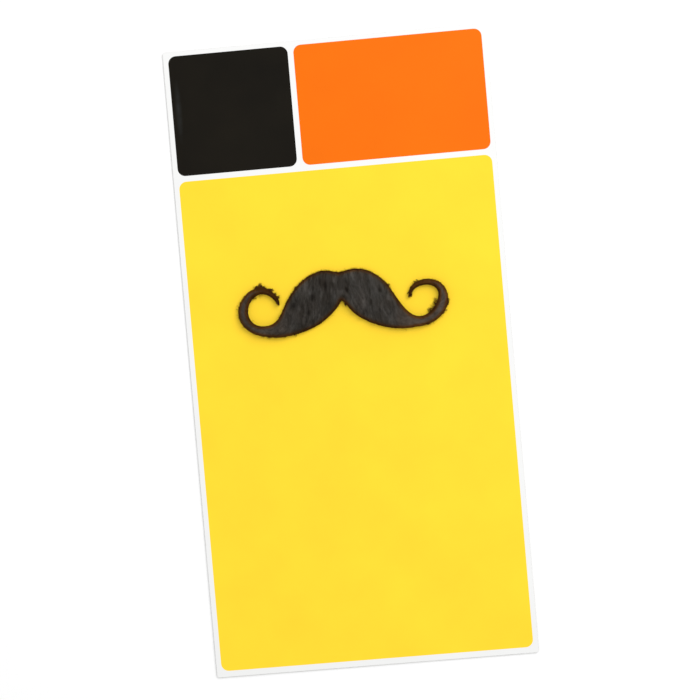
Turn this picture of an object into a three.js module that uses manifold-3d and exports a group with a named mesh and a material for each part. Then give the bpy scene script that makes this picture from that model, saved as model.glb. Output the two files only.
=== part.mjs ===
// A stick-on costume moustache, die-cut from black fur cloth, on its flat backing card.
// Millimetres, +Z up. The card lies on its back: +X runs to its right, +Y to its top edge
// and +Z out of its printed face. The origin is the middle of the card's back.
import * as THREE from "three";
import { mergeVertices } from "three/addons/utils/BufferGeometryUtils.js";
import Module from "manifold-3d";

const wasm = await Module();
wasm.setup();

// The card
const CARD_WIDTH = 114.3;
const CARD_HEIGHT = 222.25;
const CARD_THICKNESS = 0.5;
const CARD_CORNER_RADIUS = 0.8;

// Where the moustache sits, measured from the middle of the card
const CENTRE_LINE_X = -1.8;
const LOWEST_EDGE_Y = 7.0;

// The moustache's outline: each span runs from the centre line to the outside of that curl
const LEFT_SPAN = 36.6;
const RIGHT_SPAN = 38.1;
const OUTLINE_HEIGHT = 22.7;
const BODY_WIDTH = 16.6;

// The moustache's layers, from the card outwards
const FILM_THICKNESS = 0.2;
const FILM_INSET = 0.4;
const FILM_TIP_GAP = 3.0;
const CLOTH_THICKNESS = 0.7;
const PILE_DEPTH = 1.9;

// The combed locks that stand out of the pile
const LOCK_LENGTH = 7.0;
const LOCK_WIDTH = 2.5;
const LOCK_RISE = 0.4;
const LOCK_OVERHANG = 0.5;
const LOCK_SPACING = 2.5;

// Sections across each wing, from the centre line out along the body and round the curl.
// out, up, width and pile are shares of the wing's span, the outline's height, the body's
// width and the pile's depth. turn is how far the section leans outwards, in degrees.
const LEFT_SECTIONS = [
  { out: 0.0, up: 0.727, width: 0.59, turn: 0, pile: 0.88 },
  { out: 0.049, up: 0.7, width: 0.76, turn: 6, pile: 0.95 },
  { out: 0.115, up: 0.674, width: 0.904, turn: 12, pile: 1.0 },
  { out: 0.21, up: 0.599, width: 0.982, turn: 18, pile: 1.0 },
  { out: 0.311, up: 0.493, width: 0.976, turn: 20, pile: 1.0 },
  { out: 0.421, up: 0.37, width: 0.837, turn: 19, pile: 1.0 },
  { out: 0.527, up: 0.251, width: 0.614, turn: 12, pile: 0.95 },
  { out: 0.62, up: 0.159, width: 0.398, turn: -4, pile: 0.88 },
  { out: 0.71, up: 0.132, width: 0.277, turn: -24, pile: 0.8 },
  { out: 0.792, up: 0.145, width: 0.253, turn: -46, pile: 0.75 },
  { out: 0.874, up: 0.198, width: 0.223, turn: -68, pile: 0.7 },
  { out: 0.932, up: 0.3, width: 0.211, turn: -84, pile: 0.7 },
  { out: 0.954, up: 0.441, width: 0.205, turn: -92, pile: 0.65 },
  { out: 0.926, up: 0.599, width: 0.187, turn: -108, pile: 0.6 },
  { out: 0.858, up: 0.718, width: 0.163, turn: -132, pile: 0.55 },
  { out: 0.779, up: 0.762, width: 0.139, turn: -160, pile: 0.5 },
  { out: 0.702, up: 0.736, width: 0.12, turn: -192, pile: 0.45 },
  { out: 0.639, up: 0.661, width: 0.102, turn: -222, pile: 0.4 },
  { out: 0.609, up: 0.568, width: 0.078, turn: -248, pile: 0.35 },
  { out: 0.601, up: 0.52, width: 0.03, turn: -255, pile: 0.2 },
];
const RIGHT_SECTIONS = [
  { out: 0.0, up: 0.727, width: 0.59, turn: 0, pile: 0.88 },
  { out: 0.046, up: 0.722, width: 0.669, turn: 6, pile: 0.95 },
  { out: 0.118, up: 0.678, width: 0.855, turn: 14, pile: 1.0 },
  { out: 0.197, up: 0.604, width: 0.985, turn: 16.5, pile: 1.0 },
  { out: 0.289, up: 0.507, width: 1.0, turn: 16, pile: 1.0 },
  { out: 0.381, up: 0.401, width: 0.922, turn: 14, pile: 1.0 },
  { out: 0.467, up: 0.282, width: 0.729, turn: 10, pile: 0.95 },
  { out: 0.549, up: 0.185, width: 0.518, turn: 2, pile: 0.9 },
  { out: 0.63, up: 0.115, width: 0.325, turn: -8, pile: 0.82 },
  { out: 0.706, up: 0.088, width: 0.241, turn: -25, pile: 0.76 },
  { out: 0.777, up: 0.101, width: 0.229, turn: -44, pile: 0.72 },
  { out: 0.845, up: 0.154, width: 0.247, turn: -62, pile: 0.72 },
  { out: 0.906, up: 0.256, width: 0.253, turn: -77, pile: 0.72 },
  { out: 0.942, up: 0.396, width: 0.217, turn: -88, pile: 0.65 },
  { out: 0.942, up: 0.529, width: 0.169, turn: -102, pile: 0.58 },
  { out: 0.898, up: 0.634, width: 0.151, turn: -128, pile: 0.52 },
  { out: 0.822, up: 0.683, width: 0.12, turn: -165, pile: 0.45 },
  { out: 0.732, up: 0.67, width: 0.114, turn: -200, pile: 0.4 },
  { out: 0.664, up: 0.604, width: 0.09, turn: -235, pile: 0.35 },
  { out: 0.635, up: 0.485, width: 0.04, turn: -258, pile: 0.2 },
];

const STEPS_PER_SECTION = 2; // sections from one row of a table to the next
const CROWN_POINTS = 7; // points over the rounded top of a section
const CROWN_FULLNESS = 2.6; // 2 is an ellipse, and more has fuller shoulders
const BODY_ROWS = 8; // rows of a table that belong to the body, before the curl begins
const BODY_LOCK_ROWS = [0.88, 0.44, 0.0, -0.44]; // where locks root across the body, 1 is its top edge
const ROOT_SCATTER = 0.1; // how far a root strays from its row, as a share of the half section
const ROW_STAGGER = 0.5; // how far every other row is shifted, in columns
const NAP_SPLAY = [0.05, 0.3]; // how far locks lean outwards as they run down, least and most
const SHORTEST_LOCK = 0.85; // the shortest lock against the longest
const LOCK_GROWTH_STEPS = 12; // steps in which a lock's tip is moved down to its place
const CURL_LOCK_SECTIONS = 4; // sections that a lock of the curl lies over
const CURL_LOCK_SHARE = 0.6; // a curl's lock against the curl's width
const CURL_LOCK_SWING = 0.3; // how far these locks lie off the curl's middle, to either side
const LOCK_ROOT_DEPTH = 1.6; // how deep a lock is set in the pile, against its rise
const LOCK_SHOULDER = { share: 0.5, rise: 0.8 }; // the rounding of a lock's top, against its half width

// The shape of a lock from its root to its tip: breadth and rise are shares of its width and rise.
const LOCK_STATIONS = [
  { along: 0.0, breadth: 0.3, rise: -0.4 },
  { along: 0.22, breadth: 0.85, rise: 0.4 },
  { along: 0.5, breadth: 1.0, rise: 0.85 },
  { along: 0.78, breadth: 0.7, rise: 1.0 },
  { along: 1.0, breadth: 0.12, rise: 0.55 },
];

const filmBottom = CARD_THICKNESS;
const clothBottom = filmBottom + FILM_THICKNESS;
const clothTop = clothBottom + CLOTH_THICKNESS;

// One wing's sections in millimetres, from the centre line to the tip. side is -1 or 1.
function wingSections(rows, side, span) {
  const places = rows.map((row) => new THREE.Vector3(row.out, row.up, row.width));
  const shapes = rows.map((row) => new THREE.Vector3(row.turn, row.pile, 0));
  const placeCurve = new THREE.CatmullRomCurve3(places, false, "catmullrom");
  const shapeCurve = new THREE.CatmullRomCurve3(shapes, false, "catmullrom");
  const steps = (rows.length - 1) * STEPS_PER_SECTION;
  const sections = [];
  for (let i = 0; i <= steps; i++) {
    const place = placeCurve.getPoint(i / steps);
    const shape = shapeCurve.getPoint(i / steps);
    const lean = side * THREE.MathUtils.degToRad(shape.x);
    sections.push({
      middle: new THREE.Vector2(
        CENTRE_LINE_X + side * place.x * span,
        LOWEST_EDGE_Y + place.y * OUTLINE_HEIGHT,
      ),
      across: new THREE.Vector2(Math.sin(lean), Math.cos(lean)),
      half: (place.z * BODY_WIDTH) / 2,
      pile: shape.y * PILE_DEPTH,
    });
  }
  return sections;
}

// A point of a section: share is 1 at its top edge, 0 in its middle and -1 at its bottom edge.
function pointAcross(section, share, half = section.half) {
  return section.middle.clone().addScaledVector(section.across, share * half);
}

// How full the pile is across a section, from 0 at its cut edges to 1 in its middle.
function crown(share) {
  return Math.sqrt(Math.max(0, 1 - Math.abs(share) ** CROWN_FULLNESS));
}

const leftWing = wingSections(LEFT_SECTIONS, -1, LEFT_SPAN);
const rightWing = wingSections(RIGHT_SECTIONS, 1, RIGHT_SPAN);
const tipToTip = [...leftWing.toReversed(), ...rightWing.slice(1)];

// The closed line round one section of fur cloth: flat below, cut upright at both edges
// and rounded above.
function furRing(section) {
  const ring = [];
  const add = (share, z) => {
    const point = pointAcross(section, share);
    ring.push(new THREE.Vector3(point.x, point.y, z));
  };
  add(-1, clothBottom);
  add(1, clothBottom);
  for (let i = 0; i < CROWN_POINTS; i++) {
    const share = Math.cos((Math.PI * i) / (CROWN_POINTS - 1));
    add(share, clothTop + section.pile * crown(share));
  }
  return ring;
}

// A closed body through rings of the same number of points.
function loft(rings) {
  const size = rings[0].length;
  const positions = rings.flat().flatMap((point) => point.toArray());
  const indices = [];
  for (let r = 0; r + 1 < rings.length; r++) {
    for (let i = 0; i < size; i++) {
      const next = (i + 1) % size;
      const [a, b] = [r * size + i, r * size + next];
      const [c, d] = [a + size, b + size];
      indices.push(a, b, c, b, d, c);
    }
  }
  const last = (rings.length - 1) * size;
  for (let i = 1; i + 1 < size; i++) {
    indices.push(0, i + 1, i);
    indices.push(last, last + i, last + i + 1);
  }
  const geometry = new THREE.BufferGeometry();
  geometry.setAttribute("position", new THREE.Float32BufferAttribute(positions, 3));
  geometry.setIndex(indices);
  return geometry;
}

// The section that a point of the plan lies across, with the point's share of it, or nothing
// where the point is off the cloth.
function sectionUnder(point) {
  let found = null;
  for (const section of tipToTip) {
    const offset = point.clone().sub(section.middle);
    const share = offset.dot(section.across) / section.half;
    const along = Math.abs(offset.cross(section.across));
    if (Math.abs(share) <= 1 && along < (found?.along ?? LOCK_WIDTH / 2)) {
      found = { section, share, along };
    }
  }
  return found;
}

// The height of the rounded pile over a point of the plan, or of the cloth's edge beyond it.
function topAt(point) {
  const under = sectionUnder(point);
  return under ? clothTop + under.section.pile * crown(under.share) : clothTop;
}

// A lock of fur that follows the pile from its root to its tip, along a path over the plan.
// It is widest in its middle, stands out most towards its tip and ends in a point.
function lock(path, width) {
  const rings = LOCK_STATIONS.map(({ along, breadth, rise }) => {
    const point = path.getPoint(along);
    const tangent = path.getTangent(along);
    const sideways = new THREE.Vector2(-tangent.y, tangent.x).multiplyScalar((breadth * width) / 2);
    const beside = (share) => point.clone().addScaledVector(sideways, share);
    const sunk = (share, depth) => {
      const at = beside(share);
      const z = Math.max(topAt(at) - depth * LOCK_RISE, clothBottom + FILM_THICKNESS);
      return new THREE.Vector3(at.x, at.y, z);
    };
    const raised = (share, part) => {
      const at = beside(share);
      return new THREE.Vector3(at.x, at.y, topAt(point) + part * rise * LOCK_RISE);
    };
    return [
      sunk(0, LOCK_ROOT_DEPTH),
      sunk(1, 1),
      raised(LOCK_SHOULDER.share, LOCK_SHOULDER.rise),
      raised(0, 1),
      raised(-LOCK_SHOULDER.share, LOCK_SHOULDER.rise),
      sunk(-1, 1),
    ];
  });
  return loft(rings);
}

// A number from 0 to 1 that varies from lock to lock and is the same each time.
function vary(index) {
  const turns = 1000 * Math.sin(index + 1);
  return turns - Math.floor(turns);
}

// Locks combed down over the body of one wing, the lowest just past its lower edge.
function bodyLocks(sections, side) {
  const locks = [];
  const body = sections.slice(0, BODY_ROWS * STEPS_PER_SECTION);
  const outward = ({ middle }) => Math.abs(middle.x - CENTRE_LINE_X);
  const reach = outward(body.at(-1));
  const columns = Math.round(reach / LOCK_SPACING);
  const step = LOCK_LENGTH / LOCK_GROWTH_STEPS;
  for (let column = 0; column < columns; column++) {
    for (const [row, share] of BODY_LOCK_ROWS.entries()) {
      const index = 3 * (column * BODY_LOCK_ROWS.length + row) + side;
      const place = (column + ROW_STAGGER * (0.5 + (row % 2))) / columns;
      const section = body.find((one) => outward(one) >= place * reach) ?? body.at(-1);
      const root = pointAcross(section, share - ROOT_SCATTER * vary(index));
      const splay = THREE.MathUtils.lerp(...NAP_SPLAY, vary(index + 1));
      const nap = new THREE.Vector2(side * splay, -1).normalize();
      const longest = LOCK_LENGTH * THREE.MathUtils.lerp(SHORTEST_LOCK, 1, vary(index + 2));
      const tip = root.clone();
      while (root.distanceTo(tip) < longest && sectionUnder(tip)) tip.addScaledVector(nap, step);
      if (!sectionUnder(tip)) tip.addScaledVector(nap, LOCK_OVERHANG - step);
      const length = root.distanceTo(tip);
      if (length < LOCK_WIDTH) continue;
      const width = LOCK_WIDTH * Math.min(1, (2 * length) / LOCK_LENGTH);
      locks.push(lock(new THREE.LineCurve(root, tip), width));
    }
  }
  return locks;
}

// Locks laid one after the other along the curl of one wing, to either side of its middle.
function curlLocks(sections) {
  const locks = [];
  const curl = sections.slice((BODY_ROWS - 1) * STEPS_PER_SECTION);
  for (let first = 0; first + CURL_LOCK_SECTIONS < curl.length; first += CURL_LOCK_SECTIONS / 2) {
    const swing = first % CURL_LOCK_SECTIONS === 0 ? CURL_LOCK_SWING : -CURL_LOCK_SWING;
    const covered = curl.slice(first, first + CURL_LOCK_SECTIONS + 1);
    const points = covered.map((section) => pointAcross(section, swing));
    const width = Math.min(LOCK_WIDTH, 2 * CURL_LOCK_SHARE * covered[0].half);
    locks.push(lock(new THREE.SplineCurve(points), width));
  }
  return locks;
}

// A closed geometry as a manifold-3d solid.
function solid(geometry) {
  const bare = geometry.clone();
  bare.deleteAttribute("normal");
  bare.deleteAttribute("uv");
  const merged = mergeVertices(bare);
  return new wasm.Manifold(
    new wasm.Mesh({
      numProp: 3,
      vertProperties: new Float32Array(merged.attributes.position.array),
      triVerts: new Uint32Array(merged.index.array),
    }),
  );
}

// A manifold-3d solid as a geometry again.
function geometryOf(manifold) {
  const mesh = manifold.getMesh();
  const geometry = new THREE.BufferGeometry();
  geometry.setAttribute("position", new THREE.BufferAttribute(mesh.vertProperties, 3));
  geometry.setIndex(new THREE.BufferAttribute(mesh.triVerts, 1));
  geometry.computeVertexNormals();
  return geometry;
}

// The moustache: the die-cut fur cloth with its combed locks fused to it.
function furCloth() {
  const cloth = solid(loft(tipToTip.map(furRing)));
  const locks = [
    ...bodyLocks(leftWing, -1),
    ...bodyLocks(rightWing, 1),
    ...curlLocks(leftWing),
    ...curlLocks(rightWing),
  ];
  return geometryOf(locks.reduce((fused, one) => fused.add(solid(one)), cloth));
}

// The adhesive on the back of the cloth, cut a little inside its outline and short of its tips.
function adhesiveFilm() {
  const clear = (section) => [tipToTip[0], tipToTip.at(-1)].every(
    (tip) => section.middle.distanceTo(tip.middle) > FILM_TIP_GAP,
  );
  const covered = tipToTip.filter(clear);
  const edge = (share) =>
    covered.map((section) => pointAcross(section, share, section.half - FILM_INSET));
  const outline = new THREE.Shape([...edge(-1), ...edge(1).toReversed()]);
  return new THREE.ExtrudeGeometry(outline, { depth: FILM_THICKNESS, bevelEnabled: false });
}

// The flat backing card with lightly rounded corners.
function backingCard() {
  const [right, top, radius] = [CARD_WIDTH / 2, CARD_HEIGHT / 2, CARD_CORNER_RADIUS];
  const outline = new THREE.Shape();
  outline.moveTo(radius - right, -top);
  outline.lineTo(right - radius, -top);
  outline.absarc(right - radius, radius - top, radius, -Math.PI / 2, 0);
  outline.lineTo(right, top - radius);
  outline.absarc(right - radius, top - radius, radius, 0, Math.PI / 2);
  outline.lineTo(radius - right, top);
  outline.absarc(radius - right, top - radius, radius, Math.PI / 2, Math.PI);
  outline.lineTo(-right, radius - top);
  outline.absarc(radius - right, radius - top, radius, Math.PI, 1.5 * Math.PI);
  return new THREE.ExtrudeGeometry(outline, {
    depth: CARD_THICKNESS,
    bevelEnabled: false,
    curveSegments: 4,
  });
}

function piece(name, geometry, height, look) {
  const mesh = new THREE.Mesh(geometry, new THREE.MeshStandardMaterial(look));
  mesh.name = name;
  mesh.position.z = height;
  return mesh;
}

const group = new THREE.Group();
group.add(
  piece("card", backingCard(), 0, { color: "#fde33e", roughness: 0.45, metalness: 0 }),
  piece("adhesive_film", adhesiveFilm(), filmBottom, { color: "#e8e2cf", roughness: 0.6, metalness: 0 }),
  piece("moustache_fur", furCloth(), 0, { color: "#34302e", roughness: 0.9, metalness: 0 }),
);

export default group;
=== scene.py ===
# %% [markdown]
# # A fur moustache on its backing card
# This is a costume moustache with curled ends, die-cut from black fur cloth with adhesive on its
# back, and stuck on the printed card that it is sold on. The card lies face up on a pale table.
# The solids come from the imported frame: a card, a film of adhesive and a moustache with coarse
# locks. Here the card gets its printed face, and the moustache its cloth, pile and hairs.

# %% Load the frame
import math

import bmesh
import bpy
import numpy as np
from mathutils import Matrix, Vector
from mathutils.bvhtree import BVHTree


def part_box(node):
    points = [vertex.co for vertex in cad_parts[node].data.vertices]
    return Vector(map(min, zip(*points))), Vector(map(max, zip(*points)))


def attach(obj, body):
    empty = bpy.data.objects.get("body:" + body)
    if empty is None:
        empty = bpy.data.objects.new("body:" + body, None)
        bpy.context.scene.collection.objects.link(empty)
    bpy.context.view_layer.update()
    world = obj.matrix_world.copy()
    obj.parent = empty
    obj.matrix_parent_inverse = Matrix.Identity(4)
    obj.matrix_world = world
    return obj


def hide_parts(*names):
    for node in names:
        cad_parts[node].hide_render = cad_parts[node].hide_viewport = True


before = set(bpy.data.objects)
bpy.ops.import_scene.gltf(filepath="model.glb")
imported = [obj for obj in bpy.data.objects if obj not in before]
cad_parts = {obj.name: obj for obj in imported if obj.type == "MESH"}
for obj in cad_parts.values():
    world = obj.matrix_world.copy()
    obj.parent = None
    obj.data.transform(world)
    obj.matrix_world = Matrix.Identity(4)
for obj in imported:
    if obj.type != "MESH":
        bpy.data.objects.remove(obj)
MM = 0.001
scene = bpy.context.scene
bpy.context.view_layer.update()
card_low, card_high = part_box("card")
film_low, film_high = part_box("adhesive_film")
fur_low, fur_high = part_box("moustache_fur")
print("card, metres:", [round(side, 5) for side in card_high - card_low])
print("moustache, metres:", [round(side, 5) for side in fur_high - fur_low])

# %% [markdown]
# ## The camera
# The photograph looks almost straight down with a long lens, and the card leans about five degrees
# in the picture. The place and the lean were worked out from the card's four corners. A constraint
# could aim the camera, but it can't lean it, so a camera matrix is built from the direction it
# looks in and the direction that is up in the picture.

# %% Make the camera
LENS = 85.0
CAMERA_PLACE = Vector((20.4, 9.8, 583.6)) * MM
CAMERA_TARGET = Vector((-0.15, 0.85, 0.0)) * MM
PICTURE_LEAN = math.radians(4.95)
NEAREST_SEEN = 10 * MM


def make_camera():
    """A camera that looks from its place to its target, with the card leaning in the picture."""
    forward = (CAMERA_TARGET - CAMERA_PLACE).normalized()
    lean = Vector((math.sin(PICTURE_LEAN), math.cos(PICTURE_LEAN), 0))
    right = forward.cross(lean).normalized()
    up = right.cross(forward)
    camera = bpy.data.objects.new("camera", bpy.data.cameras.new("camera"))
    camera.data.lens = LENS
    camera.data.clip_start = NEAREST_SEEN
    turn = Matrix((right, up, -forward)).transposed().to_4x4()
    camera.matrix_world = Matrix.Translation(CAMERA_PLACE) @ turn
    scene.collection.objects.link(camera)
    return camera


scene.camera = make_camera()
scene.view_settings.view_transform = "Standard"
print("camera height above the table, metres:", round(scene.camera.location.z, 4))

# %% [markdown]
# ## Materials
# Each finish is a small node tree round one Principled shader. Numbers that are the same all over
# a piece go straight on the shader's sockets. What varies over the piece, such as colour and bump,
# comes from noise on Object coordinates or from an attribute that the mesh carries. A picture could
# give it too, but noise needs no file and stays sharp however close the camera comes.

# %% Helpers for materials
NOISE_RANGE = (0.3, 0.7)


def new_material(name, sockets):
    """A material with one Principled shader whose sockets are set, its tree, and the shader."""
    material = bpy.data.materials.new(name)
    material.use_nodes = True
    shader = material.node_tree.nodes["Principled BSDF"]
    for socket, value in sockets.items():
        shader.inputs[socket].default_value = value
    return material, material.node_tree, shader


def add_node(tree, kind, inputs=None, **settings):
    """A node with its settings, whose inputs take numbers or other nodes' outputs."""
    node = tree.nodes.new("ShaderNode" + kind)
    for key, value in settings.items():
        setattr(node, key, value)
    for key, value in (inputs or {}).items():
        if isinstance(value, bpy.types.NodeSocket):
            tree.links.new(value, node.inputs[key])
        else:
            node.inputs[key].default_value = value
    return node


def grain(tree, scale, stretch=(1, 1, 1), detail=3.0):
    """Noise on Object coordinates, finer for a higher scale, finer still along a stretched axis."""
    place = add_node(tree, "TexCoord").outputs["Object"]
    mapped = add_node(tree, "Mapping", {"Vector": place, "Scale": stretch}).outputs["Vector"]
    noise = add_node(tree, "TexNoise", {"Vector": mapped, "Scale": scale, "Detail": detail})
    return noise.outputs["Fac"]


def ramp(tree, value, stops):
    """A colour ramp through (position, colour) stops."""
    node = add_node(tree, "ValToRGB", {"Fac": value})
    elements = node.color_ramp.elements
    while len(elements) < len(stops):
        elements.new(0.5)
    for element, (position, colour) in zip(elements, stops):
        element.position = position
        element.color = (*colour, 1)
    return node.outputs["Color"]


def between(tree, noise, dark, light):
    """A colour that goes from dark to light over the range that noise mostly has."""
    return ramp(tree, noise, list(zip(NOISE_RANGE, (dark, light))))


def bump(tree, shader, height, strength, distance):
    """Bump on the shader from a height between 0 and 1."""
    node = add_node(tree, "Bump", {"Height": height, "Strength": strength, "Distance": distance})
    tree.links.new(node.outputs["Normal"], shader.inputs["Normal"])


def shade(colour, factor):
    """A colour made darker or lighter."""
    return tuple(min(1.0, part * factor) for part in colour)


# %% [markdown]
# ### Board and ink
# The card is grey board, coated white and printed on its face. Coated board has a satin gloss with
# a faint orange peel, and a solid of ink on it is even, apart from a slight mottle. The black panel
# carries a painted reflection: a faint lighter streak by its left side, where the gloss catches the
# light. A gradient round the streak's middle mixes the reflected colour in. The cut edge and the
# back show grey fibre.

# %% Board and ink
INK_YELLOW = (0.95, 0.645, 0.031)
INK_ORANGE = (0.82, 0.148, 0.001)
INK_BLACK = (0.0060, 0.0045, 0.0022)
# The colour of the painted reflection by the black panel's left side
REFLECTED_BLACK = (0.024, 0.026, 0.026)
BOARD_WHITE = (0.790, 0.792, 0.786)
BOARD_FIBRE = (0.37, 0.36, 0.335)
INK_MOTTLE = 0.03
BLACK_MOTTLE = 0.25
COAT_MOTTLE = 0.01
# Where the painted reflection on the black panel lies, and how far it reaches
REFLECTION_PLACE = (-53.2 * MM, 90.0 * MM)
REFLECTION_REACH = (1.3 * MM, 12.0 * MM)


def painted_reflection(tree, ink, reflected):
    """The ink with a painted reflection: a faint lighter streak, broken up by grain."""
    scale = [1 / reach for reach in REFLECTION_REACH]
    middle = [-place * share for place, share in zip(REFLECTION_PLACE, scale)]
    place = add_node(tree, "TexCoord").outputs["Object"]
    mapping = {"Vector": place, "Location": (*middle, 0), "Scale": (*scale, 1)}
    mapped = add_node(tree, "Mapping", mapping).outputs["Vector"]
    blot = add_node(tree, "TexGradient", {"Vector": mapped}, gradient_type="SPHERICAL")
    factors = {0: blot.outputs["Fac"], 1: grain(tree, scale=400)}
    reflection_share = add_node(tree, "Math", factors, operation="MULTIPLY").outputs["Value"]
    mixed = add_node(tree, "Mix", {"Factor": reflection_share, "A": ink, "B": (*reflected, 1)}, data_type="RGBA")
    return mixed.outputs["Result"]


def printed_board(name, colour, mottle=INK_MOTTLE, reflected=None):
    """Satin coated board in one colour, with a slight mottle and orange peel."""
    sockets = {"Roughness": 0.42, "Specular IOR Level": 0.09}
    material, tree, shader = new_material(name, sockets)
    clouds = grain(tree, scale=45, detail=4)
    ink = between(tree, clouds, shade(colour, 1 - mottle), shade(colour, 1 + mottle))
    # A painted reflection is mixed into the ink where one is given
    if reflected:
        ink = painted_reflection(tree, ink, reflected)
    tree.links.new(ink, shader.inputs["Base Color"])
    bump(tree, shader, grain(tree, scale=900, detail=2), strength=0.06, distance=0.1 * MM)
    return material


def bare_board(name, colour):
    """Uncoated board, whose fibres lie along it in layers."""
    sockets = {"Roughness": 0.9, "Specular IOR Level": 0.2}
    material, tree, shader = new_material(name, sockets)
    fibres = grain(tree, scale=700, stretch=(1, 1, 9), detail=6)
    fibrous = between(tree, fibres, dark=shade(colour, 0.86), light=shade(colour, 1.08))
    tree.links.new(fibrous, shader.inputs["Base Color"])
    bump(tree, shader, fibres, strength=0.35, distance=0.1 * MM)
    return material


# The order of the finishes is the order of the card's material numbers
WHITE, YELLOW, ORANGE, BLACK, BARE = range(5)
card_finishes = [
    printed_board("white_coated_board", BOARD_WHITE, mottle=COAT_MOTTLE),
    printed_board("yellow_ink", INK_YELLOW),
    printed_board("orange_ink", INK_ORANGE),
    # The black ink carries a painted reflection by its left side
    printed_board("black_ink", INK_BLACK, mottle=BLACK_MOTTLE, reflected=REFLECTED_BLACK),
    bare_board("bare_board", BOARD_FIBRE),
]
print("finishes of the card:", [finish.name for finish in card_finishes])

# %% [markdown]
# ## The card
# A printed card is one flat piece of board. Its panels could be drawn in a material, but their
# edges would soften when the finish is baked, so each panel is a region of the face with its own
# material. A rounded outline is one face whose corners are bevelled. The board between the panels
# is filled from the outlines, and the whole face is extruded back by the board's thickness. The
# front edge is rounded a little, and the rounding takes the grey finish of bare board, so that a
# thin grey line shows round the card.

# %% Draw and fill the card's face
CARD_CORNER = 0.8 * MM
PANEL_CORNER = 2.7 * MM
CORNER_STEPS = 8
SIDE_BORDER = 1.75 * MM
TOP_BORDER = 1.6 * MM
FOOT_BORDER = 2.1 * MM
PANEL_GAP = 2.0 * MM
HEADER_HEIGHT = 42.4 * MM
BLACK_PANEL_WIDTH = 42.4 * MM


def rounded_rectangle(bm, low, high, radius, z):
    """One flat face with rounded corners, facing up."""
    corners = [(low[0], low[1]), (high[0], low[1]), (high[0], high[1]), (low[0], high[1])]
    verts = [bm.verts.new((x, y, z)) for x, y in corners]
    face = bm.faces.new(verts)
    made = bmesh.ops.bevel(
        bm, geom=verts, offset=radius, segments=CORNER_STEPS, profile=0.5, affect="VERTICES",
        material=-1,
    )
    return next(f for f in bm.faces if face == f or set(made["verts"]) & set(f.verts))


def panels():
    """Each panel's low corner, high corner and finish."""
    left, right = card_low.x + SIDE_BORDER, card_high.x - SIDE_BORDER
    top, foot = card_high.y - TOP_BORDER, card_low.y + FOOT_BORDER
    header_foot = top - HEADER_HEIGHT
    split = left + BLACK_PANEL_WIDTH
    return [
        ((left, foot), (right, header_foot - PANEL_GAP), YELLOW),
        ((split + PANEL_GAP, header_foot), (right, top), ORANGE),
        ((left, header_foot), (split, top), BLACK),
    ]


def draw_card():
    """The flat face of the card: its panels, and the white board filled in round them."""
    bm = bmesh.new()
    board = rounded_rectangle(bm, card_low, card_high, CARD_CORNER, card_high.z)
    bmesh.ops.delete(bm, geom=[board], context="FACES_ONLY")
    for low, high, finish in panels():
        before = set(bm.faces)
        rounded_rectangle(bm, low, high, PANEL_CORNER, card_high.z)
        for face in set(bm.faces) - before:
            face.material_index = finish
    inked = set(bm.faces)
    bmesh.ops.triangle_fill(bm, use_beauty=True, edges=list(bm.edges), normal=(0, 0, 1))
    for face in bm.faces:
        if face.normal.z < 0:
            face.normal_flip()
    print("faces of ink and of board:", len(inked), len(bm.faces) - len(inked))
    return bm


card_bm = draw_card()

# %% Give the card its thickness and cut edges
EDGE_ROUNDING = 0.11 * MM


def only(parts, kind):
    """The parts of one kind: vertices, edges or faces."""
    return [part for part in parts if isinstance(part, kind)]


def extruded(bm, height):
    """Extrudes a flat sheet up or down by a height, and gives the faces of its new side."""
    made = bmesh.ops.extrude_face_region(bm, geom=list(bm.faces), use_keep_orig=True)["geom"]
    bmesh.ops.translate(bm, verts=only(made, bmesh.types.BMVert), vec=(0, 0, height))
    return only(made, bmesh.types.BMFace)


def thicken_card(bm):
    """Extrudes the face back by the board's thickness and rounds its front edge a little."""
    rim = [edge for edge in bm.edges if edge.is_boundary]
    front = list(bm.faces)
    back = extruded(bm, card_low.z - card_high.z)
    bmesh.ops.reverse_faces(bm, faces=back)
    for face in set(bm.faces) - set(front):
        face.material_index = BARE
    bmesh.ops.recalc_face_normals(bm, faces=list(bm.faces))
    rounded = bmesh.ops.bevel(
        bm, geom=rim, offset=EDGE_ROUNDING, segments=2, profile=0.5, affect="EDGES",
        material=-1, clamp_overlap=True,
    )
    # The rounding takes the grey finish of bare board, and shows as a thin grey line round the card
    for face in rounded["faces"]:
        face.material_index = BARE


def object_from(bm, name, materials):
    """A linked object at the origin from a finished bmesh."""
    mesh = bpy.data.meshes.new(name)
    bm.to_mesh(mesh)
    bm.free()
    made = bpy.data.objects.new(name, mesh)
    for material in materials:
        mesh.materials.append(material)
    scene.collection.objects.link(made)
    return made


thicken_card(card_bm)
backing_card = object_from(card_bm, "backing_card", card_finishes)
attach(backing_card, "root")
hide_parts("card")
print("backing_card faces:", len(backing_card.data.polygons))

# %% [markdown]
# ## The film of adhesive
# The film hides under the cloth, and only its cut edge could ever show. It could be modelled again,
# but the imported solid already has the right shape, so it keeps that and gets the finish of a thin
# clear adhesive that is faintly yellow.

# %% Finish the film
ADHESIVE_DARK = (0.70, 0.64, 0.50)
ADHESIVE_LIGHT = (0.82, 0.77, 0.63)


def adhesive():
    """Clear adhesive with a slightly uneven, tacky surface."""
    material, tree, shader = new_material("clear_adhesive", {"Roughness": 0.25, "IOR": 1.47})
    colour = between(tree, grain(tree, scale=300), ADHESIVE_DARK, ADHESIVE_LIGHT)
    tree.links.new(colour, shader.inputs["Base Color"])
    bump(tree, shader, grain(tree, scale=1500), strength=0.2, distance=0.05 * MM)
    return material


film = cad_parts["adhesive_film"]
film.data.materials.clear()
film.data.materials.append(adhesive())
print("film thickness, metres:", round(film_high.z - film_low.z, 5))

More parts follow.
